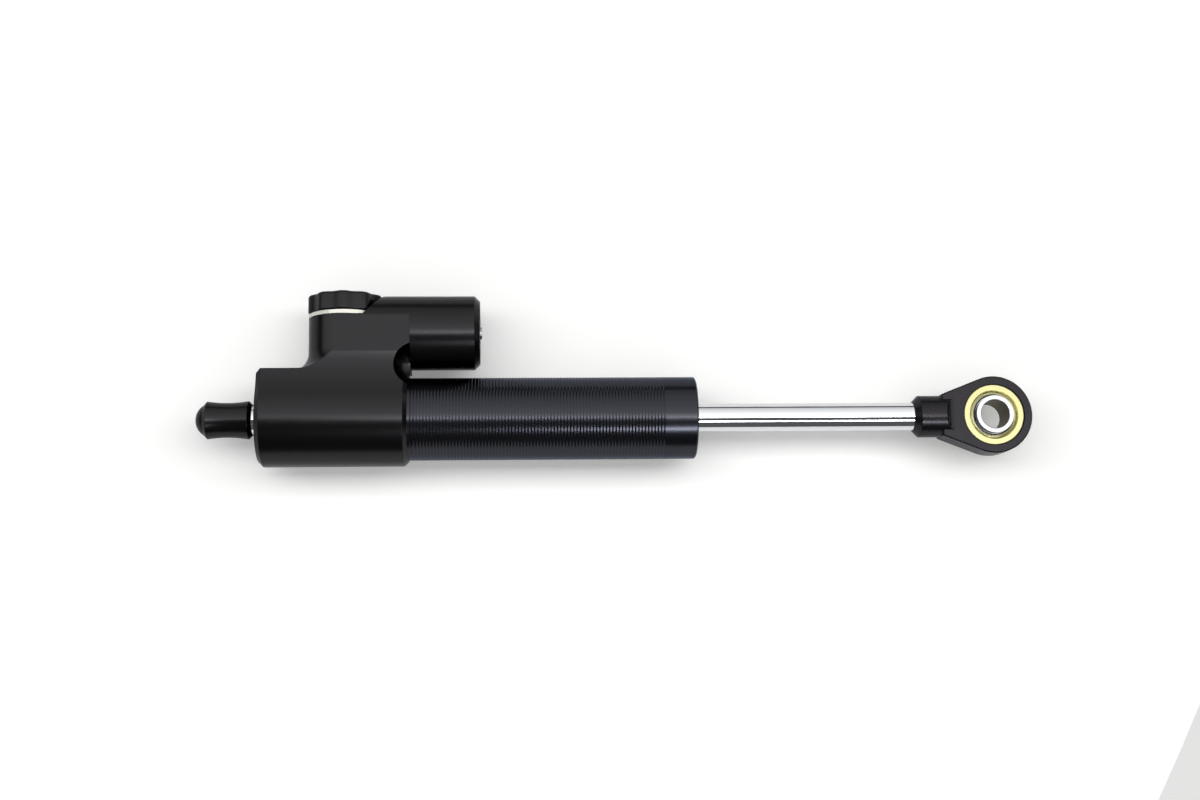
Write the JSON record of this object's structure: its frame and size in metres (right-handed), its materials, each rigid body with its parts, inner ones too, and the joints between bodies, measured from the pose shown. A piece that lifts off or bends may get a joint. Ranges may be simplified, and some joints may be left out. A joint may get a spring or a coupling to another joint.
{
  "type": "motorcycle steering damper",
  "caption": "Linear hydraulic steering damper with a billet head, side reservoir, adjuster knob, grooved barrel, chromed through rod and spherical rod eye.",
  "frame": {"origin": "on the damper axis, halfway along the exposed barrel, where the clamp goes", "axes": "+X along the axis towards the rod eye, +Y towards the reservoir and knob, +Z along the eye's bolt hole"},
  "size_m": [0.2938, 0.0602, 0.0328],
  "materials": {
    "head_anodised": "satin black anodised",
    "tube_anodised": "fine-turned, blue-black anodised",
    "knob_anodised": "satin black anodised",
    "cap_anodised": "satin black anodised",
    "eye_anodised": "satin black anodised",
    "plug_anodised": "satin black anodised",
    "index_cream": "matt cream",
    "rod_chrome": "polished hard chrome",
    "ball_chrome": "polished",
    "race_brass": "satin",
    "screw_steel": "zinc plated",
    "clip_steel": "spring steel, oiled",
    "bare_aluminium": "machined",
    "bush_bronze": "sintered bronze",
    "seal_rubber": "matt",
    "band_plastic": "filled bearing plastic",
    "spool_steel": "ground"
  },
  "bodies": {
    "barrel": {"head_body": "head_anodised", "barrel_tube": "tube_anodised", "barrel_o_ring": "seal_rubber", "cylinder_liner": "bare_aluminium", "front_gland": "bare_aluminium", "gland_o_ring": "seal_rubber", "front_guide_bush": "bush_bronze", "front_rod_seal": "seal_rubber", "front_wiper": "seal_rubber", "front_circlip": "clip_steel", "rear_guide_bush": "bush_bronze", "rear_rod_seal": "seal_rubber", "rear_wiper": "seal_rubber", "rear_circlip": "clip_steel", "index_ring": "index_cream", "valve_sleeve": "bush_bronze", "valve_gland": "bare_aluminium", "stem_o_ring": "seal_rubber", "reservoir_cap": "plug_anodised", "reservoir_o_ring": "seal_rubber", "bleed_screw": "screw_steel"},
    "piston_band": {"piston_band": "band_plastic"},
    "rod": {"piston_rod": "rod_chrome", "piston": "bare_aluminium", "piston_clip_front": "clip_steel", "piston_clip_rear": "clip_steel", "rod_end_cap": "cap_anodised", "rod_eye": "eye_anodised", "eye_race": "race_brass"},
    "ball": {"eye_ball": "ball_chrome"},
    "knob": {"adjuster_knob": "knob_anodised", "knob_screw": "screw_steel", "click_plunger": "screw_steel", "metering_spool": "spool_steel"},
    "compensator": {"compensator_piston": "bare_aluminium", "compensator_o_ring": "seal_rubber"}
  },
  "joints": [
    {"name": "rod_slide", "type": "slide", "parent": "barrel", "child": "piston_band", "axis": [-1, 0, 0], "range_m": [0, 0.075]},
    {"name": "rod_turn", "type": "hinge", "parent": "piston_band", "child": "rod", "pos_m": [0, 0, 0], "axis": [1, 0, 0], "continuous": true},
    {"name": "ball_tilt", "type": "hinge", "parent": "rod", "child": "ball", "pos_m": [0.15645, 0, 0], "axis": [0, 1, 0], "range_deg": [-12, 12]},
    {"name": "knob_turn", "type": "hinge", "parent": "barrel", "child": "knob", "pos_m": [-0.0723, 0.0354, 0], "axis": [0, 1, 0], "range_deg": [0, 330]},
    {"name": "compensator_slide", "type": "slide", "parent": "barrel", "child": "compensator", "axis": [1, 0, 0], "range_m": [-0.006, 0.0065]}
  ]
}
